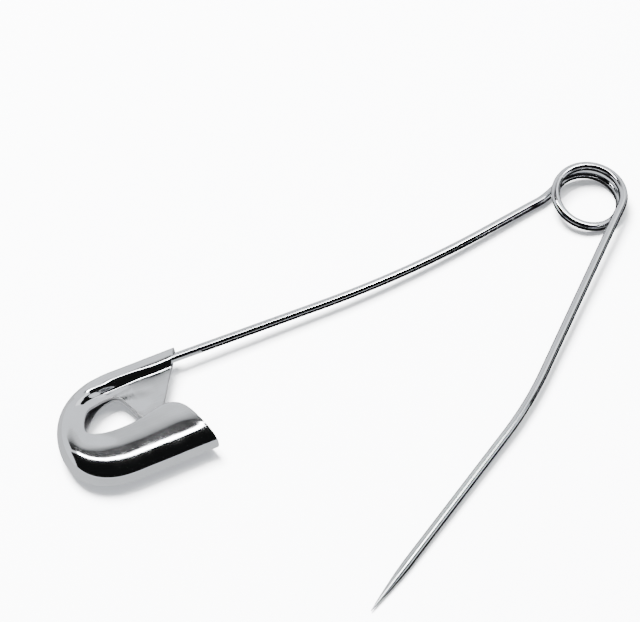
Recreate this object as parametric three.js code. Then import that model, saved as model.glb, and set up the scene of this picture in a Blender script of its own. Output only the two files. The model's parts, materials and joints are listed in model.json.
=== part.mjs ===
import * as THREE from 'three';

// A curved safety pin, lying open. Lengths are in millimetres and angles in degrees.
// It is laid out from the coil: x runs along the pin to the cap, y to the side of the pointed leg, z up.
// A heading is measured from x towards y.

// The wire
const wireDiameter = 0.75;
const seamGap = 0.04; // between the wire's three stretches
const coilSides = 6;
const legSides = 12;

// The spring coil
const coilRadius = 2.8; // to the middle of the wire
const coilTurnGap = 0.45; // from one turn to the next, along the coil's axis
const coilStepsPerTurn = 24;
const coilLean = 9.5; // how far the coil's axis leans from upright
const coilLeanHeading = 112;

// The fixed leg
const fixedLegHeading = 9; // where it leaves the coil
const fixedLegOverturnAngle = 17; // the coil runs on this far past that heading, and the leg bends back
const fixedLegReturnLength = 1.6;
const fixedLegFirstStraight = 5.7;
const fixedLegBendAngle = -10.2;
const fixedLegBendLength = 16;
const fixedLegLastStraight = 12.3; // up to the cap
const fixedLegInCap = 5.5;
const fixedLegSteps = 30;

// The pointed leg
const pointedLegHeading = 39.7; // where it leaves the coil
const pointedLegSettleLength = 2.4; // over which it leaves the coil's slope
const pointedLegFirstStraight = 14.8;
const pointedLegBendAngle = -11;
const pointedLegBendLength = 6.8;
const pointedLegLastStraight = 18.45;
const pointedLegSteps = 36;
const tipHeight = 0.22; // the point's middle line above the surface
const pointLength = 4.2; // the ground taper
const pointRadius = 0.04;
const pointFullness = 0.75; // under 1, the taper bulges a little

// The cap
const capLength = 11.8;
const capWidth = 9.95;
const capHeight = 2.9;
const sheetThickness = 0.25;
const crimpGap = 0.15; // between the wire and the channel's wall
const guardMouthSetback = 0.4; // the guard's mouth behind the channel's
const earGap = 0.1; // between the two sheets of the ear
const capRows = 48; // along the folded outer edge
const rowCrowdingShare = 0.45; // how much closer the rows lie at the mouths
const foldSteps = 4; // from the outer wall to the crest of the fold
const slopeSteps = 4; // from the crest to the foot of the step
const flapSteps = 2; // from the foot to the flap's free edge

// The cap's outer edge, as shares of its length and width: where the guard's straight wall ends, the
// furthest point of the head, where the channel's straight wall begins, and the curves' handles.
const outlineShares = {
  guardEnd: [0.63, 1.005],
  guardHandle: [0.84, 1.005],
  headUpperHandle: [1, 0.87],
  head: [1, 0.6],
  headLowerHandle: [1, 0.33],
  channelHandle: [0.86, 0.04],
  channelEnd: [0.51, 0.005],
};
const guardMouthWidthShare = 0.99;

// The flaps, from the guard's mouth round the eye to the tip of the ear and the channel's mouth. Each row
// has a place along the outer edge, the free edge opposite it as shares of the cap's length and width,
// the start and end of the step down to the flap as shares of the way in, the heights of the crest and
// of the free edge as shares of half the sheet's height, and the fold's depth as a share of the crest's
// height. At the ear the two sheets lie the ear's gap apart.
const flapShares = [
  [0, 0.102, 0.74, 0.5, 0.75, 1, 1, 2.2],
  [0.015, 0.122, 0.672, 0.5, 0.75, 1, 1, 2.2],
  [0.034, 0.15, 0.612, 0.5, 0.75, 1, 1, 2.2],
  [0.06, 0.196, 0.568, 0.5, 0.75, 1, 1, 2.2],
  [0.096, 0.266, 0.55, 0.5, 0.75, 1, 1, 2.2],
  [0.137, 0.356, 0.57, 0.5, 0.75, 1, 1, 2.2],
  [0.181, 0.449, 0.602, 0.52, 0.76, 1, 1, 2.15],
  [0.244, 0.585, 0.618, 0.55, 0.8, 1, 1, 2.05],
  [0.306, 0.7, 0.606, 0.6, 0.92, 1, 0.97, 1.8],
  [0.365, 0.772, 0.578, 0.66, 1, 1, 0.97, 1.4],
  [0.424, 0.812, 0.54, 0.66, 1, 1, 0.96, 1],
  [0.494, 0.8, 0.462, 0.6, 1, 1, 0.95, 0.85],
  [0.565, 0.768, 0.385, 0.5, 0.95, 0.98, 0.88, 0.85],
  [0.627, 0.724, 0.32, 0.42, 0.8, 0.92, 0.68, 0.9],
  [0.69, 0.642, 0.266, 0.42, 0.74, 0.8, 0.34, 1],
  [0.738, 0.572, 0.246, 0.46, 0.72, 0.68, 0.18, 1.1],
  [0.771, 0.522, 0.242, 0.47, 0.71, 0.6, 0.08, 1.2],
  [0.797, 0.489, 0.264, 0.43, 0.65, 0.55, 0, 1.25],
  [0.823, 0.466, 0.324, 0.35, 0.53, 0.52, 0, 1.25],
  [0.849, 0.448, 0.406, 0.27, 0.41, 0.5, 0, 1.25],
  [0.878, 0.424, 0.504, 0.22, 0.33, 0.49, 0, 1.25],
  [0.911, 0.38, 0.565, 0.2, 0.3, 0.48, 0, 1.25],
  [0.945, 0.33, 0.567, 0.2, 0.31, 0.48, 0, 1.25],
  [0.97, 0.284, 0.523, 0.21, 0.33, 0.48, 0, 1.25],
  [1, 0.237, 0.457, 0.23, 0.37, 0.48, 0, 1.25],
];
const stepEndShare = 0.92; // the step is modelled at the furthest up to this share of the way in
const foldFullnessShare = 0.25; // how much fuller than an ellipse a deeper fold is

const wireRadius = wireDiameter / 2;
const up = new THREE.Vector3(0, 0, 1);
const { degToRad, lerp, smoothstep } = THREE.MathUtils;

function headingVector(heading, climb = 0) {
  const angle = degToRad(heading);
  return new THREE.Vector3(Math.cos(angle), Math.sin(angle), climb).normalize();
}

// A closed round body on a line of points, with a radius at each point and flat ends square to the line.
function roundBody(points, radii, sides) {
  const positions = [];
  const indices = [];
  const spoke = new THREE.Vector3();
  const last = points.length - 1;
  points.forEach((point, ring) => {
    const before = points[Math.max(ring - 1, 0)];
    const after = points[Math.min(ring + 1, last)];
    const forward = after.clone().sub(before).normalize();
    if (ring === 0) spoke.crossVectors(up, forward);
    spoke.addScaledVector(forward, -spoke.dot(forward)).normalize();
    for (let side = 0; side < sides; side++) {
      const turn = (2 * Math.PI * side) / sides;
      const reach = spoke.clone().applyAxisAngle(forward, turn).multiplyScalar(radii[ring]);
      positions.push(...point.clone().add(reach).toArray());
    }
  });
  for (let ring = 0; ring < last; ring++) {
    for (let side = 0; side < sides; side++) {
      const next = (side + 1) % sides;
      const [a, b] = [ring * sides + side, ring * sides + next];
      indices.push(a, b, b + sides, a, b + sides, a + sides);
    }
  }
  const ends = [positions.length / 3, positions.length / 3 + 1];
  positions.push(...points[0].toArray(), ...points[last].toArray());
  for (let side = 0; side < sides; side++) {
    const next = (side + 1) % sides;
    indices.push(ends[0], next, side, ends[1], last * sides + side, last * sides + next);
  }
  return bufferGeometry(positions, indices);
}

function bufferGeometry(positions, indices) {
  const geometry = new THREE.BufferGeometry();
  geometry.setAttribute('position', new THREE.Float32BufferAttribute(positions, 3));
  geometry.setIndex(indices);
  geometry.computeVertexNormals();
  return geometry;
}

// The wire's middle line, laid stretch by stretch from a place and a direction.
class WireRoute extends THREE.CurvePath {
  constructor(start, direction) {
    super();
    this.end = start.clone();
    this.direction = direction.clone();
  }

  straight(length) {
    const from = this.end;
    this.end = from.clone().addScaledVector(this.direction, length);
    this.add(new THREE.LineCurve3(from, this.end));
    return this;
  }

  bendTo(direction, length) {
    const from = this.end;
    const corner = from.clone().addScaledVector(this.direction, length / 2);
    this.direction = direction.clone();
    this.end = corner.clone().addScaledVector(direction, length / 2);
    this.add(new THREE.QuadraticBezierCurve3(from, corner, this.end));
    return this;
  }
}

// The spring coil: its turns wind down from the pointed leg's end to the fixed leg's end.
const coilPitch = wireDiameter + coilTurnGap;
const topAngle = pointedLegHeading + 90;
const bottomAngle = fixedLegHeading + fixedLegOverturnAngle - 90 + 720;
const coilTurns = (bottomAngle - topAngle) / 360;
const coilTilt = new THREE.Quaternion().setFromAxisAngle(
  headingVector(coilLeanHeading + 90),
  degToRad(coilLean),
);

function coilPoint(share) {
  const angle = degToRad(lerp(bottomAngle, topAngle, share));
  const height = (share - 0.5) * coilTurns * coilPitch;
  const point = new THREE.Vector3(coilRadius * Math.cos(angle), coilRadius * Math.sin(angle), height);
  return point.applyQuaternion(coilTilt);
}

function coilTangent(share) {
  const angle = degToRad(lerp(bottomAngle, topAngle, share));
  const climb = coilPitch / (2 * Math.PI * coilRadius);
  return new THREE.Vector3(Math.sin(angle), -Math.cos(angle), climb).normalize().applyQuaternion(coilTilt);
}

const coilSteps = Math.round(coilTurns * coilStepsPerTurn);
const coilLine = Array.from({ length: coilSteps + 1 }, (_, step) => coilPoint(step / coilSteps));
const bottomDirection = coilTangent(0).negate(); // out of the coil, into the fixed leg
const topDirection = coilTangent(1); // out of the coil, into the pointed leg
const coilEnds = {
  bottom: coilLine[0].clone().addScaledVector(bottomDirection, wireDiameter),
  top: coilLine[coilSteps].clone().addScaledVector(topDirection, wireDiameter),
};
const lowestPoint = Math.min(...coilLine.map((point) => point.z));
const coilHeight = wireRadius - lowestPoint; // the coil's lowest turn lies on the surface
[...coilLine, coilEnds.bottom, coilEnds.top].forEach((point) => {
  point.z += coilHeight;
});

const coilBodyLine = [coilEnds.bottom, ...coilLine, coilEnds.top];
const coilRadii = coilBodyLine.map(() => wireRadius);
const coilGeometry = roundBody(coilBodyLine, coilRadii, coilSides);

// The least gap between one turn and the next, measured on the wire's middle line.
function leastGapBetweenTurns() {
  let gap = Infinity;
  const apart = Math.round(coilStepsPerTurn / 2);
  coilBodyLine.forEach((point, index) => {
    coilBodyLine.slice(index + apart).forEach((other) => {
      gap = Math.min(gap, point.distanceTo(other) - wireDiameter);
    });
  });
  return gap;
}
console.log(`least gap between the coil's turns: ${leastGapBetweenTurns().toFixed(3)} mm`);

// The fixed leg bends back from the coil, runs straight, bows gently and runs into the cap's channel.
const capMiddle = capHeight / 2;
const fixedLegHeadingInCap = fixedLegHeading + fixedLegBendAngle;
const fixedLegRest =
  (fixedLegReturnLength + fixedLegInCap) / 2 +
  fixedLegFirstStraight +
  fixedLegBendLength +
  fixedLegLastStraight;
const returnRise = (bottomDirection.z * fixedLegReturnLength) / 2;
const fixedLegClimb = (capMiddle - coilEnds.bottom.z - returnRise) / fixedLegRest;
const fixedLegStart = coilEnds.bottom.clone().addScaledVector(bottomDirection, seamGap);
const fixedLegRoute = new WireRoute(fixedLegStart, bottomDirection)
  .bendTo(headingVector(fixedLegHeading, fixedLegClimb), fixedLegReturnLength)
  .straight(fixedLegFirstStraight)
  .bendTo(headingVector(fixedLegHeadingInCap, fixedLegClimb), fixedLegBendLength)
  .straight(fixedLegLastStraight);
const capMouth = fixedLegRoute.end.clone();
fixedLegRoute.bendTo(headingVector(fixedLegHeadingInCap), fixedLegInCap);

const fixedLegLine = fixedLegRoute.getSpacedPoints(fixedLegSteps);
const fixedLegRadii = fixedLegLine.map(() => wireRadius);
const fixedLegGeometry = roundBody(fixedLegLine, fixedLegRadii, legSides);

// The pointed leg leaves the coil's top, slopes down to the surface and ends in a ground point.
const pointedLegRest =
  pointedLegSettleLength / 2 + pointedLegFirstStraight + pointedLegBendLength + pointedLegLastStraight;
const settleRise = (topDirection.z * pointedLegSettleLength) / 2;
const pointedLegClimb = (tipHeight - coilEnds.top.z - settleRise) / pointedLegRest;
const pointedLegStart = coilEnds.top.clone().addScaledVector(topDirection, seamGap);
const pointedLegRoute = new WireRoute(pointedLegStart, topDirection)
  .bendTo(headingVector(pointedLegHeading, pointedLegClimb), pointedLegSettleLength)
  .straight(pointedLegFirstStraight)
  .bendTo(headingVector(pointedLegHeading + pointedLegBendAngle, pointedLegClimb), pointedLegBendLength)
  .straight(pointedLegLastStraight);

const pointedLegLine = pointedLegRoute.getSpacedPoints(pointedLegSteps);
const pointedLegLength = pointedLegRoute.getLength();
const pointedLegRadii = pointedLegLine.map((_, step) => {
  const toTip = pointedLegLength * (1 - step / pointedLegSteps);
  const share = Math.min(toTip / pointLength, 1) ** pointFullness;
  return lerp(pointRadius, wireRadius, share);
});
const pointedLegGeometry = roundBody(pointedLegLine, pointedLegRadii, legSides);

// The cap is laid out from the channel's mouth, on the wire's middle line: x runs into the cap and y
// to the guard. It is one sheet, so its shape is the sheet's middle surface, thickened to both sides.
const channelWall = -(wireRadius + crimpGap + sheetThickness / 2);
const sheetWidth = capWidth - sheetThickness;
const sheetLength = capLength - sheetThickness / 2;
const sheetHalfHeight = (capHeight - sheetThickness) / 2;
const earHalfHeight = (earGap + sheetThickness) / 2;

function outlinePoint([lengthShare, widthShare]) {
  return new THREE.Vector3(lengthShare * sheetLength, channelWall + widthShare * sheetWidth, 0);
}

function capOutline() {
  const { guardEnd, guardHandle, headUpperHandle, head } = outlineShares;
  const { headLowerHandle, channelHandle, channelEnd } = outlineShares;
  const guardMouth = outlinePoint([guardMouthSetback / sheetLength, guardMouthWidthShare]);
  const channelMouth = new THREE.Vector3(0, channelWall, 0);
  const outline = new THREE.CurvePath();
  outline.add(new THREE.LineCurve3(guardMouth, outlinePoint(guardEnd)));
  outline.add(
    new THREE.CubicBezierCurve3(...[guardEnd, guardHandle, headUpperHandle, head].map(outlinePoint)),
  );
  outline.add(
    new THREE.CubicBezierCurve3(...[head, headLowerHandle, channelHandle, channelEnd].map(outlinePoint)),
  );
  outline.add(new THREE.LineCurve3(outlinePoint(channelEnd), channelMouth));
  return outline;
}

// The rows of a table read as smooth curves over their first column.
function smoothRow(table, place) {
  const last = table.length - 1;
  const row = Math.min(Math.max(table.findLastIndex((entry) => entry[0] <= place), 0), last - 1);
  const [p0, p1, p2, p3] = [row - 1, row, row + 1, row + 2].map((i) => table[Math.min(Math.max(i, 0), last)]);
  const span = p2[0] - p1[0];
  const share = (place - p1[0]) / span;
  return p1.slice(1).map((value, column) => {
    const next = p2[column + 1];
    const slopeIn = p1 === p0 ? 0 : ((next - p0[column + 1]) / (p2[0] - p0[0])) * span;
    const slopeOut = p3 === p2 ? 0 : ((p3[column + 1] - value) / (p3[0] - p1[0])) * span;
    const [square, cube] = [share ** 2, share ** 3];
    return (
      value * (2 * cube - 3 * square + 1) +
      slopeIn * (cube - 2 * square + share) +
      next * (3 * square - 2 * cube) +
      slopeOut * (cube - square)
    );
  });
}

// Half of the sheet's section at one place along the outer edge. It rises from the wall as a quarter of an
// ellipse, or a fuller curve, and past the fold a step leads down to the flap and its free edge.
function halfSection(wall, place) {
  const [lengthShare, widthShare, ...sectionShares] = smoothRow(flapShares, place);
  const [stepStartShare, stepFootShare, crestShare, edgeShare, foldShare] = sectionShares;
  const inwards = outlinePoint([lengthShare, widthShare]).sub(wall);
  const reach = inwards.length();
  inwards.normalize();
  const crest = Math.min(crestShare, 1) * sheetHalfHeight;
  const edge = Math.max(edgeShare * sheetHalfHeight, earHalfHeight);
  const stepStart = stepStartShare * reach;
  const stepFoot = stepFootShare * reach;
  const stepEnd = Math.min(stepFoot, stepEndShare * reach);
  const foldDepth = foldShare * crest;
  const foldEnd = Math.min(foldDepth, stepStart);
  const foldEndTurn = Math.acos(1 - foldEnd / foldDepth);
  const fullness = 2 + foldFullnessShare * (foldShare - 1);
  const at = (distance) => {
    const toFoldDepth = Math.max(1 - distance / foldDepth, 0);
    const fold = crest * (1 - toFoldDepth ** fullness) ** (1 / fullness);
    const height = lerp(fold, Math.min(edge, fold), smoothstep(distance, stepStart, stepFoot));
    return wall.clone().addScaledVector(inwards, distance).addScaledVector(up, height);
  };
  const section = [];
  for (let step = 0; step <= foldSteps; step++) {
    section.push(at(foldDepth * (1 - Math.cos(foldEndTurn * (step / foldSteps)))));
  }
  for (let step = 1; step <= slopeSteps; step++) {
    section.push(at(lerp(foldEnd, stepEnd, step / slopeSteps)));
  }
  for (let step = 1; step <= flapSteps; step++) {
    section.push(at(lerp(stepEnd, reach, step / flapSteps)));
  }
  return section;
}

// The sheet's middle surface as rows of points, each row running from the back flap's free edge over
// the outer wall to the front flap's. The rows lie closer together towards the two mouths.
function sheetSurface() {
  const outline = capOutline();
  return Array.from({ length: capRows }, (_, row) => {
    const even = row / (capRows - 1);
    const place = even - (rowCrowdingShare * Math.sin(2 * Math.PI * even)) / (2 * Math.PI);
    const front = halfSection(outline.getPointAt(place), place);
    const back = front.slice(1).map(({ x, y, z }) => new THREE.Vector3(x, y, -z));
    return [...back.reverse(), ...front];
  });
}

// A closed body of even thickness on both sides of a surface of rows and columns. The middle column's
// direction counts in each normal, because near the guard's mouth a row runs almost along the free edge.
function thicken(rows, thickness) {
  const columns = rows[0].length;
  const [lastRow, lastColumn] = [rows.length - 1, columns - 1];
  const middleColumn = lastColumn / 2;
  const positions = [];
  const indices = [];
  [thickness / 2, -thickness / 2].forEach((offset) => {
    rows.forEach((row, i) => {
      const [before, after] = [rows[Math.max(i - 1, 0)], rows[Math.min(i + 1, lastRow)]];
      const alongMiddle = after[middleColumn].clone().sub(before[middleColumn]);
      row.forEach((point, j) => {
        const alongRows = after[j].clone().sub(before[j]).add(alongMiddle);
        const alongRow = row[Math.min(j + 1, lastColumn)].clone().sub(row[Math.max(j - 1, 0)]);
        const normal = alongRow.cross(alongRows).normalize();
        positions.push(...point.clone().addScaledVector(normal, offset).toArray());
      });
    });
  });
  const at = (i, j, side) => side * rows.length * columns + i * columns + j;
  const quad = (a, b, c, d) => indices.push(a, b, c, a, c, d);
  for (let i = 0; i < lastRow; i++) {
    for (let j = 0; j < lastColumn; j++) {
      quad(at(i, j, 0), at(i, j + 1, 0), at(i + 1, j + 1, 0), at(i + 1, j, 0));
      quad(at(i, j, 1), at(i + 1, j, 1), at(i + 1, j + 1, 1), at(i, j + 1, 1));
    }
    quad(at(i, 0, 0), at(i + 1, 0, 0), at(i + 1, 0, 1), at(i, 0, 1));
    quad(at(i, lastColumn, 0), at(i, lastColumn, 1), at(i + 1, lastColumn, 1), at(i + 1, lastColumn, 0));
  }
  for (let j = 0; j < lastColumn; j++) {
    quad(at(0, j, 0), at(0, j, 1), at(0, j + 1, 1), at(0, j + 1, 0));
    quad(at(lastRow, j, 0), at(lastRow, j + 1, 0), at(lastRow, j + 1, 1), at(lastRow, j, 1));
  }
  return bufferGeometry(positions, indices);
}

const capGeometry = thicken(sheetSurface(), sheetThickness);

// Bright plated steel, the wire a little greyer than the cap.
const capSteel = new THREE.MeshStandardMaterial({ color: 0xd4d7dc, roughness: 0.12, metalness: 1 });
const wireSteel = new THREE.MeshStandardMaterial({ color: 0xc6cace, roughness: 0.16, metalness: 1 });

function piece(name, geometry, material) {
  const mesh = new THREE.Mesh(geometry, material);
  mesh.name = name;
  return mesh;
}

const cap = piece('cap', capGeometry, capSteel);
cap.position.set(capMouth.x, capMouth.y, capMiddle);
cap.rotation.z = degToRad(fixedLegHeadingInCap);

const layout = new THREE.Group();
layout.add(
  cap,
  piece('fixed_leg', fixedLegGeometry, wireSteel),
  piece('spring_coil', coilGeometry, wireSteel),
  piece('pointed_leg', pointedLegGeometry, wireSteel),
);

// Turned so that the pointed leg opens to the front, with the origin under the middle of the pin.
layout.rotation.z = Math.PI;
const extent = new THREE.Box3().setFromObject(layout, true);
const middle = extent.getCenter(new THREE.Vector3());
layout.position.set(-middle.x, -middle.y, -extent.min.z);

const safetyPin = new THREE.Group();
safetyPin.add(layout);

export default safetyPin;
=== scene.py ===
import json
import math

import bmesh
import bpy
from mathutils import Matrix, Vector

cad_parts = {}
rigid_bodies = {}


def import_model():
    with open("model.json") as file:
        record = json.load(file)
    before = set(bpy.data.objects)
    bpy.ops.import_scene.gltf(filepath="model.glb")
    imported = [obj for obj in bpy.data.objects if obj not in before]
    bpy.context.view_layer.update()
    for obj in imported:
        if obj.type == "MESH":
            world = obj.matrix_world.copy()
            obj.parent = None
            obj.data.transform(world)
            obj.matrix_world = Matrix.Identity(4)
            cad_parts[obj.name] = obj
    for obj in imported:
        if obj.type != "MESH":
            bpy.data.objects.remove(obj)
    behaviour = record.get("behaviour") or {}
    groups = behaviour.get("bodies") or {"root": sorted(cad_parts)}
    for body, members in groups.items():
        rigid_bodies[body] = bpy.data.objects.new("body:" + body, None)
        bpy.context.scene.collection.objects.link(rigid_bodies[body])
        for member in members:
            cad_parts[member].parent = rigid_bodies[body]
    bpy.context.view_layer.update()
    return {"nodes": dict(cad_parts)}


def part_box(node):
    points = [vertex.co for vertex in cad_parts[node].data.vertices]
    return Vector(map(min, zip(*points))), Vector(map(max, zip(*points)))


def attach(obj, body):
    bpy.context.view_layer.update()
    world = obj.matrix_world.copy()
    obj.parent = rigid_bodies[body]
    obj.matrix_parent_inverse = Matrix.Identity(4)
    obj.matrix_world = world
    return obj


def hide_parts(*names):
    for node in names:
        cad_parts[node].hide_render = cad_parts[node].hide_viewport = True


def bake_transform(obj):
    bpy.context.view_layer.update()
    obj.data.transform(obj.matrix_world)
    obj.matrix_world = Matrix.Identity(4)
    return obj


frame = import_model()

# The curved safety pin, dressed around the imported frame. Lengths are in metres.

bl_info = {
    "name": "Curved Safety Pin",
    "version": (1, 0, 0),
    "blender": (4, 5, 0),
    "location": "View3D > Sidebar > Safety Pin",
    "description": "Builds the bright wire, the folded cap and the studio of an open safety pin",
    "category": "Object",
}

MM = 0.001

# Corners of a mesh that are closer than this are one.
WELD = 0.001 * MM
# The sheet turns more sharply than this only along its cut edges.
CUT_EDGE = math.radians(70)
SHEET_LEVELS = 2
# A face whose normal's z is under this looks down, and faces whose normals agree by more than FLAT are level.
LOOKS_DOWN = -0.95
FLAT = 0.9999
# The wire's steps between two rings of its CAD node, and its sides.
WIRE_STEPS = 5
WIRE_SIDES = 24
WIRE_SMOOTH = math.radians(40)
# The part of the ground taper over which the grinding sets in.
GRIND_FADE = 0.2
# The crimp's folds are at full depth over the inner third of their reach, and fade out over the rest.
CRIMP_FADE = 1.5
# Noise above this level raises the sheet at the crimp, and noise below it presses the sheet in.
CRIMP_LEVEL = 0.75

# How fine the patterns in the finishes are, in cells over one metre.
STAINS = 420
HAZE = 900
SCRATCHES = (900, 9000, 2400)
BLOTCHES = 1100
WIRE_TONES = 260
PITS = 1500
FLOOR_TONES = 3
# Most values of a noise lie between these two.
NOISE_RANGE = (0.35, 0.65)
# How much darker than its tint each finish is where it is stained.
CAP_STAINED = 0.94
INSIDE_STAINED = 0.6
WIRE_STAINED = 0.92
FLOOR_STAINED = 0.985
# The least and the most that haze, pits and grinding multiply the roughness by.
HAZE_FACTORS = (0.75, 1.5)
PIT_FACTORS = (0.8, 1.5)
GRIND_FACTORS = (1, 1.8)
# The roughness of the cap's inside, from its stains to its clean metal, and of the floor.
INSIDE_ROUGHNESS = (0.4, 0.28)
FLOOR_ROUGHNESS = 0.8
SCRATCH_DEPTH = 0.0012 * MM
# A drawing line on the wire is this many times as long as it is wide.
LINE_STRETCH = 40
# How often the grinding marks change round the point, in cells over one metre.
GRIND_AROUND = 200

# The softboxes: how far each stands round from straight behind the pin, how high, and its width and depth.
SOFTBOX_DISTANCE = 0.6
SOFTBOXES = {
    "key": (math.radians(38), math.radians(67), (0.24, 0.3)),
    "overhead": (0, math.radians(81), (0.7, 0.14)),
}
# The screens that the plating reflects. For each its span in degrees from the floor in front over the
# zenith, its reach in degrees to the right, and its glow at the two ends of its span.
SCREENS = {
    "front_screen": ((8, 92), (-62, 62), (0.008, 0.008)),
    "back_screen": ((99, 112), (-50, 14), (0.01, 0.06)),
    "back_screen_edge": ((112, 125), (-50, 14), (0.06, 1.0)),
    "leg_glow": ((108, 130), (16, 50), (1.8, 1.8)),
    "side_screen": ((95, 155), (53, 88), (0.008, 0.008)),
}
SCREEN_STEPS = 24
# The two cards, a painted reflection of the floor and a painted shadow, lie this far under the floor. The
# dark one, painted shade that the wires' undersides reflect, starts just past the cap, beyond the fixed leg.
PAINTED_FLOOR_REFLECTION_DEPTH = 0.02 * MM
PAINTED_SHADOW_CARD_DEPTH = 0.01 * MM
PAINTED_SHADOW_CARD_GLOW = 0.01
PAINTED_SHADOW_CARD_SIZE = 0.3
PAINTED_SHADOW_CARD_GAP = (1.5 * MM, 2 * MM)
PAINTED_SHADOW_CARD_SIDE = (0.12, -1, 0)


class WireSettings(bpy.types.PropertyGroup):
    """Sizes and finish of the spring wire."""

    colour: bpy.props.FloatVectorProperty(
        name="Colour", description="Tint of the wire's plating", default=(0.80, 0.81, 0.83),
        subtype="COLOR", min=0, max=1,
    )
    roughness: bpy.props.FloatProperty(
        name="Roughness", description="Roughness of the bright plating", default=0.09,
        subtype="FACTOR", min=0, max=1,
    )
    line_depth: bpy.props.FloatProperty(
        name="Line Depth", description="Depth of the lines that drawing leaves along the wire",
        default=0.0004 * MM, unit="LENGTH", precision=6,
    )
    line_width: bpy.props.FloatProperty(
        name="Line Width", description="Spacing of the drawing lines", default=0.06 * MM, unit="LENGTH",
    )
    point_length: bpy.props.FloatProperty(
        name="Point Length", description="Length of the ground taper", default=4.2 * MM, unit="LENGTH",
    )
    grind_pitch: bpy.props.FloatProperty(
        name="Grind Pitch", description="Spacing of the grinding marks round the point",
        default=0.16 * MM, unit="LENGTH",
    )
    bend_length: bpy.props.FloatProperty(
        name="Bend Length", description="Stretch over which the pointed leg bends when it is lifted",
        default=4.0 * MM, unit="LENGTH",
    )


class CapSettings(bpy.types.PropertyGroup):
    """Sizes and finish of the folded cap."""

    colour: bpy.props.FloatVectorProperty(
        name="Colour", description="Tint of the cap's plating", default=(0.86, 0.87, 0.89),
        subtype="COLOR", min=0, max=1,
    )
    roughness: bpy.props.FloatProperty(
        name="Roughness", description="Roughness of the bright plating", default=0.07,
        subtype="FACTOR", min=0, max=1,
    )
    edge_round: bpy.props.FloatProperty(
        name="Edge Round",
        description="Most rounding of the sheet's cut edges. Its tightest corner holds it to about 0.004 mm",
        default=0.05 * MM, unit="LENGTH",
    )
    wave_depth: bpy.props.FloatProperty(
        name="Wave Depth", description="Depth of the waves that the folding leaves in the sheet",
        default=0.012 * MM, unit="LENGTH", precision=6,
    )
    wave_size: bpy.props.FloatProperty(
        name="Wave Size", description="Size of one wave in the sheet", default=1.8 * MM, unit="LENGTH",
    )
    crimp_along: bpy.props.FloatProperty(
        name="Crimp Along", description="Middle of the crimp's folds along the cap, from the head",
        default=0.45, subtype="FACTOR", min=0, max=1,
    )
    crimp_across: bpy.props.FloatProperty(
        name="Crimp Across", description="Middle of the crimp's folds across the cap, from the guard",
        default=0.86, subtype="FACTOR", min=0, max=1,
    )
    crimp_reach: bpy.props.FloatProperty(
        name="Crimp Reach", description="How far the crimp's folds spread", default=4.2 * MM, unit="LENGTH",
    )
    crimp_fold_length: bpy.props.FloatProperty(
        name="Crimp Fold Length", description="Length of one fold", default=4.2 * MM, unit="LENGTH",
    )
    crimp_fold_width: bpy.props.FloatProperty(
        name="Crimp Fold Width", description="Width of one fold", default=0.7 * MM, unit="LENGTH",
    )
    crimp_depth: bpy.props.FloatProperty(
        name="Crimp Depth", description="Depth of the crimp's folds", default=0.22 * MM, unit="LENGTH",
        precision=6,
    )
    # The inside's darker tint: partly duller plating, partly painted shade in the hollow between the sheets.
    inside_dull_and_painted_shade: bpy.props.FloatProperty(
        name="Inside Tone", description="Tint of the sheet's inside, where the plating is thin",
        default=0.7, subtype="FACTOR", min=0, max=1,
    )


class StudioSettings(bpy.types.PropertyGroup):
    """The floor, the lights and the camera."""

    floor_colour: bpy.props.FloatVectorProperty(
        name="Floor Colour", description="Colour of the floor", default=(0.93, 0.935, 0.95),
        subtype="COLOR", min=0, max=1,
    )
    floor_size: bpy.props.FloatProperty(
        name="Floor Size", description="Width of the floor", default=6.0, unit="LENGTH",
    )
    card_colour: bpy.props.FloatVectorProperty(
        name="Card Colour", description="Colour of the cards and screens", default=(0.95, 0.975, 1),
        subtype="COLOR", min=0, max=1,
    )
    # Glow of the light-grey card: a painted reflection of the floor, darker than the floor that the camera
    # sees.
    painted_floor_reflection_glow: bpy.props.FloatProperty(
        name="Card Glow", description="How bright the light-grey card is", default=0.9, min=0,
    )
    ambient_colour: bpy.props.FloatVectorProperty(
        name="Ambient Colour", description="Colour of the even light all round", default=(0.93, 0.96, 1),
        subtype="COLOR", min=0, max=1,
    )
    ambient: bpy.props.FloatProperty(
        name="Ambient", description="Strength of the even light all round", default=1.15, min=0,
    )
    key_power: bpy.props.FloatProperty(
        name="Key Power", description="Power of the key light", default=41.0, unit="POWER",
    )
    top_power: bpy.props.FloatProperty(
        name="Top Power", description="Power of the softbox overhead", default=6.0, unit="POWER",
    )
    screen_distance: bpy.props.FloatProperty(
        name="Screen Distance", description="From the pin to the screens that it reflects", default=0.5,
        unit="LENGTH",
    )
    camera_azimuth: bpy.props.FloatProperty(
        name="Camera Azimuth", description="Heading that the camera looks along, from +Y towards -X",
        default=math.radians(-26.36), subtype="ANGLE",
    )
    camera_elevation: bpy.props.FloatProperty(
        name="Camera Elevation", description="Height of the camera above the horizon",
        default=math.radians(53), subtype="ANGLE",
    )
    camera_distance: bpy.props.FloatProperty(
        name="Camera Distance", description="From the point that the camera aims at", default=185.5 * MM,
        unit="LENGTH",
    )
    camera_aim: bpy.props.FloatVectorProperty(
        name="Camera Aim", description="Point on the floor in the middle of the picture",
        default=(-1.82 * MM, 11.66 * MM, 0), subtype="XYZ", unit="LENGTH",
    )
    camera_lens: bpy.props.FloatProperty(
        name="Camera Lens", description="Focal length in millimetres", default=129.4,
    )


def deselect_all():
    if bpy.context.object and bpy.context.object.mode != "OBJECT":
        bpy.ops.object.mode_set(mode="OBJECT")
    bpy.ops.object.select_all(action="DESELECT")


def make_active(obj):
    deselect_all()
    obj.select_set(True)
    bpy.context.view_layer.objects.active = obj


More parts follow.
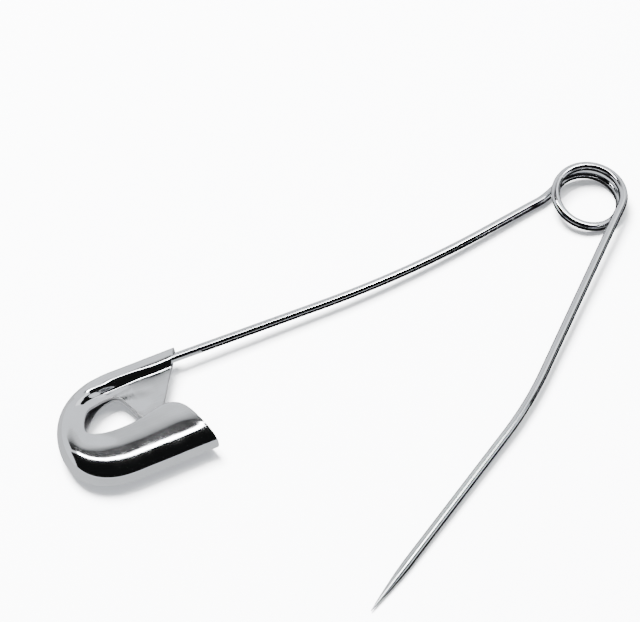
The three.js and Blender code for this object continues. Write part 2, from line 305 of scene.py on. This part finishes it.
def apply_modifier(obj, kind, name, **values):
    """Adds a modifier, sets its values and applies it."""
    make_active(obj)
    bpy.ops.object.modifier_add(type=kind)
    modifier = obj.modifiers[-1]
    modifier.name = name
    for key, value in values.items():
        setattr(modifier, key, value)
    bpy.ops.object.modifier_apply(modifier=modifier.name)


class NodeTree:
    """Adds and links the nodes of one material."""

    def __init__(self, name):
        self.material = bpy.data.materials.new(name)
        self.material.use_nodes = True
        self.nodes = self.material.node_tree.nodes
        self.links = self.material.node_tree.links
        self.shader = self.nodes["Principled BSDF"]

    def add(self, kind, inputs=None, **values):
        node = self.nodes.new(kind)
        for key, value in values.items():
            setattr(node, key, value)
        for key, value in (inputs or {}).items():
            self.feed(node, key, value)
        return node

    def feed(self, node, key, value):
        if isinstance(value, bpy.types.NodeSocket):
            self.links.new(value, node.inputs[key])
        else:
            node.inputs[key].default_value = value

    def place(self):
        """Where a point lies on its piece."""
        return self.add("ShaderNodeTexCoord").outputs["Object"]

    def noise(self, vector, scale, detail):
        node = self.add("ShaderNodeTexNoise", {"Vector": vector, "Scale": scale, "Detail": detail})
        return node.outputs["Fac"]

    def spread(self, value, low, high, start=0.0, end=1.0):
        """A value between start and end, read as one between low and high."""
        node = self.add(
            "ShaderNodeMapRange",
            {"Value": value, "From Min": start, "From Max": end, "To Min": low, "To Max": high},
        )
        return node.outputs["Result"]

    def patches(self, place, density, detail):
        """Soft patches, from 0 to 1."""
        return self.spread(self.noise(place, density, detail), 0, 1, *NOISE_RANGE)

    def stretched(self, vector, scale):
        node = self.add("ShaderNodeMapping", {"Vector": vector, "Scale": scale})
        return node.outputs["Vector"]

    def tint(self, value, low, high):
        """A colour between two, by a value from 0 to 1."""
        node = self.add("ShaderNodeMix", data_type="RGBA")
        self.feed(node, 0, value)
        self.feed(node, 6, low)
        self.feed(node, 7, high)
        return node.outputs[2]

    def math(self, operation, first, second):
        node = self.add("ShaderNodeMath", operation=operation)
        self.feed(node, 0, first)
        self.feed(node, 1, second)
        return node.outputs["Value"]

    def bump(self, height, distance, normal=None):
        node = self.add("ShaderNodeBump", {"Height": height, "Distance": distance})
        if normal is not None:
            self.feed(node, "Normal", normal)
        return node.outputs["Normal"]


def shaded(colour, factor):
    """A colour times a factor, with an alpha of 1."""
    return (*(channel * factor for channel in colour), 1)


def make_cap_plating(settings):
    """Polished nickel plate on the cap, with faint stains, fine scratches and handling marks."""
    tree = NodeTree("cap_bright_plate")
    place = tree.place()
    stained, clean = shaded(settings.colour, CAP_STAINED), shaded(settings.colour, 1)
    tree.feed(tree.shader, "Base Color", tree.tint(tree.patches(place, STAINS, 3), stained, clean))
    scratches = tree.noise(tree.stretched(place, SCRATCHES), 1, 4)
    haze = tree.spread(tree.noise(place, HAZE, 4), *HAZE_FACTORS, 0.35, 0.7)
    tree.feed(tree.shader, "Roughness", tree.math("MULTIPLY", haze, settings.roughness))
    tree.feed(tree.shader, "Normal", tree.bump(scratches, SCRATCH_DEPTH))
    tree.shader.inputs["Metallic"].default_value = 1
    return tree.material


def make_cap_inside(settings):
    """The cap's inside, where the plating is thin and dull, with a darker tint that is partly the steel under
    it and partly painted shade in the hollow between the sheets.
    """
    tree = NodeTree("cap_inside_dull_and_painted_shade")
    blotches = tree.patches(tree.place(), BLOTCHES, 4)
    # The inside's tint is darkened: partly duller plating, partly painted shade in the hollow between the
    # sheets.
    dull = shaded(settings.colour, settings.inside_dull_and_painted_shade)
    dark = shaded(settings.colour, INSIDE_STAINED * settings.inside_dull_and_painted_shade)
    tree.feed(tree.shader, "Base Color", tree.tint(blotches, dark, dull))
    tree.feed(tree.shader, "Roughness", tree.spread(blotches, *INSIDE_ROUGHNESS))
    tree.shader.inputs["Metallic"].default_value = 1
    return tree.material


def select_cut_edges():
    bpy.ops.mesh.select_mode(type="EDGE")
    bpy.ops.mesh.select_all(action="DESELECT")
    bpy.ops.mesh.edges_select_sharp(sharpness=CUT_EDGE)


def assign_inside(cap):
    """Gives the sheet's inner side, up to its cut edges, the cap's second material."""
    make_active(cap)
    bpy.ops.object.mode_set(mode="EDIT")
    select_cut_edges()
    bpy.ops.mesh.mark_sharp()
    bpy.ops.mesh.select_mode(type="FACE")
    bpy.ops.mesh.select_all(action="DESELECT")
    sheet = bmesh.from_edit_mesh(cap.data)
    middle = sum(corner[2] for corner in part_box("cap")) / 2
    # The front flap's underside: a face that looks down, in the upper half of the cap.
    inner = next(
        face for face in sheet.faces
        if face.normal.z < LOOKS_DOWN and face.calc_center_median().z > middle
    )
    inner.select_set(True)
    bmesh.update_edit_mesh(cap.data)
    bpy.ops.mesh.select_linked(delimit={"SHARP"})
    cap.active_material_index = 1
    bpy.ops.object.material_slot_assign()
    bpy.ops.mesh.select_all(action="SELECT")
    bpy.ops.mesh.mark_sharp(clear=True)
    bpy.ops.object.mode_set(mode="OBJECT")


def make_wire_plating(settings, name):
    """Bright plate over drawn wire: lines along the wire, and rings round the ground point."""
    tree = NodeTree(name)
    place = tree.place()
    along = tree.add("ShaderNodeAttribute", attribute_name="wire_place").outputs["Vector"]
    ground = tree.add("ShaderNodeAttribute", attribute_name="ground").outputs["Fac"]
    darker, clean = shaded(settings.colour, WIRE_STAINED), shaded(settings.colour, 1)
    tree.feed(tree.shader, "Base Color", tree.tint(tree.patches(place, WIRE_TONES, 3), darker, clean))
    line_length = LINE_STRETCH * settings.line_width
    drawn = tree.noise(tree.stretched(along, (1 / line_length, 1 / settings.line_width, 0)), 1, 3)
    rings = tree.noise(tree.stretched(along, (1 / settings.grind_pitch, GRIND_AROUND, 0)), 1, 3)
    pits = tree.spread(tree.noise(place, PITS, 3), *PIT_FACTORS, 0.4, 0.7)
    ground_roughness = tree.spread(ground, *GRIND_FACTORS)
    roughness = tree.math("MULTIPLY", pits, settings.roughness)
    tree.feed(tree.shader, "Roughness", tree.math("MULTIPLY", roughness, ground_roughness))
    grinding = tree.math("MULTIPLY", rings, ground)
    lines = tree.bump(drawn, settings.line_depth)
    tree.feed(tree.shader, "Normal", tree.bump(grinding, 2 * settings.line_depth, lines))
    tree.shader.inputs["Metallic"].default_value = 1
    return tree.material


def wire_line(node_name):
    """The middle line and the radii of a CAD wire, read ring by ring from one end to the other."""
    solid = bmesh.new()
    solid.from_mesh(frame["nodes"][node_name].data)
    bmesh.ops.remove_doubles(solid, verts=solid.verts, dist=WELD)
    solid.normal_update()
    solid.verts.index_update()

    def is_end(vertex):
        """Whether the faces round a corner lie flat, as they do only in the middle of an end."""
        faces = vertex.link_faces
        return all(face.normal.dot(faces[0].normal) > FLAT for face in faces)

    ends = [vertex for vertex in solid.verts if is_end(vertex)]
    if len(ends) != 2:
        raise RuntimeError(f"{node_name} has {len(ends)} flat ends, and a wire has two")
    ring = [max(ends, key=lambda vertex: vertex.co.x)]
    seen = set(ring)
    line = []
    while True:
        ring = {edge.other_vert(vertex) for vertex in ring for edge in vertex.link_edges} - seen
        if len(ring) < 3:
            break
        seen |= ring
        # A set has no order of its own. In a fixed order each run rounds alike.
        corners = [vertex.co for vertex in sorted(ring, key=lambda vertex: vertex.index)]
        centre = sum(corners, Vector()) / len(corners)
        radius = sum((corner - centre).length for corner in corners) / len(corners)
        line.append((centre, radius))
    solid.free()
    return line


def make_wire(name, line, point_length=0):
    """A round wire on a line of (point, radius), with its place along and around kept as an attribute."""
    deselect_all()
    bpy.ops.curve.primitive_bezier_curve_add(location=(0, 0, 0))
    thickness = max(radius for _, radius in line)
    curve = bpy.context.object.data
    curve.dimensions = "3D"
    curve.twist_mode = "MINIMUM"
    curve.resolution_u = WIRE_STEPS
    curve.bevel_depth = thickness
    curve.bevel_resolution = WIRE_SIDES // 4 - 1
    curve.use_fill_caps = True
    spline = curve.splines[0]
    spline.bezier_points.add(len(line) - len(spline.bezier_points))
    for bezier, (point, radius) in zip(spline.bezier_points, line):
        bezier.co = point
        bezier.radius = radius / thickness
        bezier.handle_left_type = bezier.handle_right_type = "AUTO"
    bpy.ops.object.convert(target="MESH")
    wire = bpy.context.object
    wire.name = name
    wire.data.name = name
    mark_wire(wire, line, point_length)
    make_active(wire)
    bpy.ops.object.shade_smooth_by_angle(angle=WIRE_SMOOTH)
    return wire


def mark_wire(wire, line, point_length):
    """Stores each point's length along and around the wire, and how far it lies in the ground taper."""
    wire.data.attributes.new("wire_place", "FLOAT_VECTOR", "POINT")
    wire.data.attributes.new("ground", "FLOAT", "POINT")
    places = wire.data.attributes["wire_place"]
    ground = wire.data.attributes["ground"]
    lengths = [0.0]
    for (before, _), (after, _) in zip(line, line[1:]):
        lengths.append(lengths[-1] + (after - before).length)
    taper_start = lengths[-1] - point_length
    radius = max(radius for _, radius in line)
    for vertex in wire.data.vertices:
        nearest = min(range(len(line)), key=lambda index: (line[index][0] - vertex.co).length_squared)
        ahead = min(nearest + 1, len(line) - 1)
        behind = max(nearest - 1, 0)
        direction = (line[ahead][0] - line[behind][0]).normalized()
        offset = vertex.co - line[nearest][0]
        along = lengths[nearest] + offset.dot(direction)
        side = direction.cross(Vector((0, 0, 1))).normalized()
        over = side.cross(direction)
        around = math.atan2(offset.dot(over), offset.dot(side))
        places.data[vertex.index].vector = (along, abs(around) * radius, 0)
        if point_length:
            share = (along - taper_start) / (GRIND_FADE * point_length)
            ground.data[vertex.index].value = min(max(share, 0), 1)


def dress(piece, material, node):
    """Gives a piece its finish, and has it stand for its CAD node."""
    piece.data.materials.clear()
    piece.data.materials.append(material)
    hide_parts(node)


class SAFETYPIN_OT_wire(bpy.types.Operator):
    """Build the fixed leg, the spring coil and the pointed leg as round bright wire"""

    bl_idname = "safety_pin.wire"
    bl_label = "Build Wire"

    def execute(self, context):
        settings = context.scene.safety_pin_wire
        coil_line = wire_line("spring_coil")
        fixed_line = wire_line("fixed_leg")
        pointed_line = wire_line("pointed_leg")
        radius = coil_line[0][1]
        # The coil's two ends: the legs start there, so the wire shows no seam.
        bottom, top = sorted((coil_line[0][0], coil_line[-1][0]), key=lambda end: end.z)
        fixed_line.insert(0, (bottom, radius))
        pointed_line.insert(0, (top, radius))

        coil = make_wire("spring_coil_wire", coil_line)
        fixed = make_wire("fixed_leg_wire", fixed_line)
        pointed = make_wire("pointed_leg_wire", pointed_line, settings.point_length)
        dress(coil, make_wire_plating(settings, "coil_bright_wire"), "spring_coil")
        dress(fixed, make_wire_plating(settings, "fixed_leg_bright_wire"), "fixed_leg")
        dress(pointed, make_wire_plating(settings, "pointed_leg_bright_wire"), "pointed_leg")

        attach(fixed, "root")
        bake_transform(coil)
        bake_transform(pointed)
        return {"FINISHED"}


def dent_crimp(cap, settings):
    """Presses small folds along the wire into the front sheet, where the channel meets the head."""
    low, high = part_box("cap")
    place = Vector((
        low[0] + settings.crimp_along * (high[0] - low[0]),
        low[1] + settings.crimp_across * (high[1] - low[1]),
        high[2],
    ))
    middle = (low[2] + high[2]) / 2
    group = cap.vertex_groups.new(name="crimp")
    for vertex in cap.data.vertices:
        share = 1 - (vertex.co - place).length / settings.crimp_reach
        if share > 0 and vertex.co.z > middle:
            group.add([vertex.index], min(CRIMP_FADE * share, 1), "REPLACE")
    folds = bpy.data.textures.new("crimp_folds", "CLOUDS")
    folds.noise_scale = 1
    folds.noise_depth = 1
    leg = wire_line("fixed_leg")
    along = leg[-1][0] - leg[-2][0]
    deselect_all()
    bpy.ops.object.empty_add(location=place, rotation=(0, 0, math.atan2(along.y, along.x)))
    guide = bpy.context.object
    guide.scale = (settings.crimp_fold_length, settings.crimp_fold_width, settings.crimp_fold_length)
    apply_modifier(
        cap, "DISPLACE", "crimp_folds",
        texture=folds, texture_coords="OBJECT", texture_coords_object=guide,
        direction="Z", strength=settings.crimp_depth, mid_level=CRIMP_LEVEL, vertex_group=group.name,
    )
    make_active(guide)
    bpy.ops.object.delete()


class SAFETYPIN_OT_cap(bpy.types.Operator):
    """Build the folded sheet cap with its guard, eye, ear and crimped channel"""

    bl_idname = "safety_pin.cap"
    bl_label = "Build Cap"

    def execute(self, context):
        settings = context.scene.safety_pin_cap
        make_active(frame["nodes"]["cap"])
        bpy.ops.object.duplicate()
        cap = bpy.context.object
        cap.name = "folded_cap"
        cap.parent = None
        for key in list(cap.keys()):
            del cap[key]
        cap.data.name = cap.name
        make_active(cap)
        bpy.ops.object.mode_set(mode="EDIT")
        bpy.ops.mesh.select_all(action="SELECT")
        bpy.ops.mesh.remove_doubles(threshold=WELD)
        quad_limit = math.radians(60)
        bpy.ops.mesh.tris_convert_to_quads(face_threshold=quad_limit, shape_threshold=quad_limit)
        bpy.ops.object.mode_set(mode="OBJECT")
        dress(cap, make_cap_plating(settings), "cap")
        cap.data.materials.append(make_cap_inside(settings))
        assign_inside(cap)

        bpy.ops.object.mode_set(mode="EDIT")
        select_cut_edges()
        bpy.ops.mesh.bevel(offset=settings.edge_round, segments=1, affect="EDGES", clamp_overlap=True)
        bpy.ops.object.mode_set(mode="OBJECT")
        apply_modifier(cap, "SUBSURF", "smooth_sheet", levels=SHEET_LEVELS, render_levels=SHEET_LEVELS)
        waves = bpy.data.textures.new("sheet_waves", "CLOUDS")
        waves.noise_scale = settings.wave_size
        waves.noise_depth = 1
        apply_modifier(
            cap, "DISPLACE", "sheet_waves",
            texture=waves, texture_coords="LOCAL", strength=settings.wave_depth, mid_level=0.5,
        )
        dent_crimp(cap, settings)
        make_active(cap)
        bpy.ops.object.shade_smooth()
        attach(cap, "root")
        return {"FINISHED"}


def make_floor_finish(colour):
    tree = NodeTree("floor_pale")
    tone = tree.noise(tree.place(), FLOOR_TONES, 2)
    tree.feed(tree.shader, "Base Color", tree.tint(tone, shaded(colour, FLOOR_STAINED), shaded(colour, 1)))
    tree.shader.inputs["Roughness"].default_value = FLOOR_ROUGHNESS
    return tree.material


def heading(azimuth, elevation):
    """The direction to a place in the studio, seen from the pin. Azimuth 0 is +Y and 90 degrees is -X."""
    return Vector((
        -math.sin(azimuth) * math.cos(elevation),
        math.cos(azimuth) * math.cos(elevation),
        math.sin(elevation),
    ))


def add_softbox(settings, name, power):
    """A soft light that faces the pin."""
    turn, height, size = SOFTBOXES[name]
    direction = heading(settings.camera_azimuth + turn, height)
    deselect_all()
    bpy.ops.object.light_add(type="AREA")
    lamp = bpy.context.object
    lamp.name = name
    lamp.data.shape = "RECTANGLE"
    lamp.data.size, lamp.data.size_y = size
    lamp.data.energy = power
    lamp.location = direction * SOFTBOX_DISTANCE
    lamp.rotation_euler = direction.to_track_quat("Z", "Y").to_euler()
    return lamp


def add_screen(settings, name, span, reach, shades):
    """A curved screen that the bright plating reflects, unseen by the camera and casting no shadow."""
    deselect_all()
    bpy.ops.mesh.primitive_grid_add(x_subdivisions=SCREEN_STEPS, y_subdivisions=SCREEN_STEPS, size=1)
    screen = bpy.context.object
    screen.name = name
    towards_camera = heading(settings.camera_azimuth + math.pi, 0)
    right = heading(settings.camera_azimuth - math.pi / 2, 0)
    screen.data.attributes.new("share", "FLOAT", "POINT")
    shares = screen.data.attributes["share"].data
    for vertex in screen.data.vertices:
        share = vertex.co.x + 0.5
        turn = math.radians(span[0] + (span[1] - span[0]) * share)
        side = math.radians(reach[0] + (reach[1] - reach[0]) * (vertex.co.y + 0.5))
        upright = math.cos(turn) * towards_camera + math.sin(turn) * Vector((0, 0, 1))
        vertex.co = settings.screen_distance * (math.cos(side) * upright + math.sin(side) * right)
        shares[vertex.index].value = share
    screen.data.materials.append(make_card_material(name, settings.card_colour, shades))
    show_in_plating_only(screen)


def make_card_material(name, tint, shades):
    """A card that gives off an even light of its own, from the first to the second of the shades."""
    tree = NodeTree(name)
    share = tree.add("ShaderNodeAttribute", attribute_name="share").outputs["Fac"]
    tree.shader.inputs["Base Color"].default_value = (0, 0, 0, 1)
    tree.shader.inputs["Roughness"].default_value = 1
    tree.shader.inputs["Specular IOR Level"].default_value = 0
    tree.shader.inputs["Emission Color"].default_value = (*tint, 1)
    tree.feed(tree.shader, "Emission Strength", tree.spread(share, *shades))
    return tree.material


def show_in_plating_only(card):
    card.visible_camera = False
    card.visible_diffuse = False
    card.visible_shadow = False


def add_card(settings, name, corners, depth, shade):
    """A level glowing card just under the floor, which the plating reflects in the floor's place. Each is a
    painted reflection: the grey one of a darker floor, the dark one of shade on the floor.

    Its corners are the far left, the far right and the near left one.
    """
    deselect_all()
    bpy.ops.mesh.primitive_plane_add(size=1)
    card = bpy.context.object
    card.name = name
    left, right, down = corners[0], corners[1] - corners[0], corners[2] - corners[0]
    for vertex in card.data.vertices:
        place = left + (vertex.co.x + 0.5) * right + (vertex.co.y + 0.5) * down
        vertex.co = (place.x, place.y, -depth)
    card.data.materials.append(make_card_material(name, settings.card_colour, (shade, shade)))
    show_in_plating_only(card)


def add_floor(settings):
    deselect_all()
    bpy.ops.mesh.primitive_plane_add(size=settings.floor_size)
    floor = bpy.context.object
    floor.name = "floor"
    floor.data.materials.append(make_floor_finish(settings.floor_colour))
    # The floor is hidden from reflections, and the painted floor reflection card stands in its place.
    floor.visible_glossy = False


def add_cards(settings):
    """A light-grey card under the whole floor, a painted reflection of the floor, and a dark one to the right
    of the cap, painted shade that the wires' undersides reflect.
    """
    half = settings.floor_size / 2
    whole_floor = (Vector((-half, half, 0)), Vector((half, half, 0)), Vector((-half, -half, 0)))
    add_card(settings, "painted_floor_reflection_card", whole_floor, PAINTED_FLOOR_REFLECTION_DEPTH, settings.painted_floor_reflection_glow)
    # The dark card is painted shade: the wires' undersides reflect it as if it were shaded floor beside them.
    beyond, above = PAINTED_SHADOW_CARD_GAP
    start = Vector((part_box("cap")[1][0] + beyond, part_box("fixed_leg")[1][1] + above, 0))
    right = start + PAINTED_SHADOW_CARD_SIZE * Vector((1, 0, 0))
    down = start + PAINTED_SHADOW_CARD_SIZE * Vector(PAINTED_SHADOW_CARD_SIDE)
    add_card(settings, "painted_shadow_card", (start, right, down), PAINTED_SHADOW_CARD_DEPTH, PAINTED_SHADOW_CARD_GLOW)


def add_ambient(context, settings):
    world = bpy.data.worlds.new("studio_ambient")
    context.scene.world = world
    world.use_nodes = True
    background = world.node_tree.nodes["Background"]
    background.inputs["Color"].default_value = (*settings.ambient_colour, 1)
    background.inputs["Strength"].default_value = settings.ambient


def add_camera(context, settings):
    deselect_all()
    bpy.ops.object.camera_add()
    camera = bpy.context.object
    camera.name = "photo_camera"
    camera.data.lens = settings.camera_lens
    camera.data.clip_start = 0.01
    camera.data.clip_end = 20
    back = -heading(settings.camera_azimuth, -settings.camera_elevation)
    camera.location = Vector(settings.camera_aim) + back * settings.camera_distance
    camera.rotation_euler = (-back).to_track_quat("-Z", "Y").to_euler()
    context.scene.camera = camera


class SAFETYPIN_OT_stage(bpy.types.Operator):
    """Set up the pale floor, the soft lights and the camera"""

    bl_idname = "safety_pin.stage"
    bl_label = "Build Stage"

    def execute(self, context):
        settings = context.scene.safety_pin_studio
        add_floor(settings)
        add_cards(settings)
        add_ambient(context, settings)
        add_softbox(settings, "key", settings.key_power).visible_glossy = False
        add_softbox(settings, "overhead", settings.top_power)
        for name, (span, reach, shades) in SCREENS.items():
            add_screen(settings, name, span, reach, shades)
        add_camera(context, settings)
        return {"FINISHED"}


class SAFETYPIN_PT_sidebar(bpy.types.Panel):
    """Lists the settings and the steps that build the pin"""

    bl_idname = "SAFETYPIN_PT_sidebar"
    bl_label = "Safety Pin"
    bl_space_type = "VIEW_3D"
    bl_region_type = "UI"
    bl_category = "Safety Pin"

    def draw(self, context):
        for title, settings, operator in (
            ("Wire", context.scene.safety_pin_wire, SAFETYPIN_OT_wire),
            ("Cap", context.scene.safety_pin_cap, SAFETYPIN_OT_cap),
            ("Studio", context.scene.safety_pin_studio, SAFETYPIN_OT_stage),
        ):
            column = self.layout.column()
            column.label(text=title)
            for name in settings.bl_rna.properties.keys():
                if name not in ("rna_type", "name"):
                    column.prop(settings, name)
            column.operator(operator.bl_idname)


CLASSES = (
    WireSettings, CapSettings, StudioSettings,
    SAFETYPIN_OT_wire, SAFETYPIN_OT_cap, SAFETYPIN_OT_stage,
    SAFETYPIN_PT_sidebar,
)


def register():
    for cls in CLASSES:
        bpy.utils.register_class(cls)
    bpy.types.Scene.safety_pin_wire = bpy.props.PointerProperty(type=WireSettings)
    bpy.types.Scene.safety_pin_cap = bpy.props.PointerProperty(type=CapSettings)
    bpy.types.Scene.safety_pin_studio = bpy.props.PointerProperty(type=StudioSettings)


def unregister():
    del bpy.types.Scene.safety_pin_studio
    del bpy.types.Scene.safety_pin_cap
    del bpy.types.Scene.safety_pin_wire
    for cls in reversed(CLASSES):
        bpy.utils.unregister_class(cls)


def main():
    register()
    bpy.ops.safety_pin.stage()
    bpy.ops.safety_pin.wire()
    bpy.ops.safety_pin.cap()
    deselect_all()


if __name__ == "__main__":
    main()
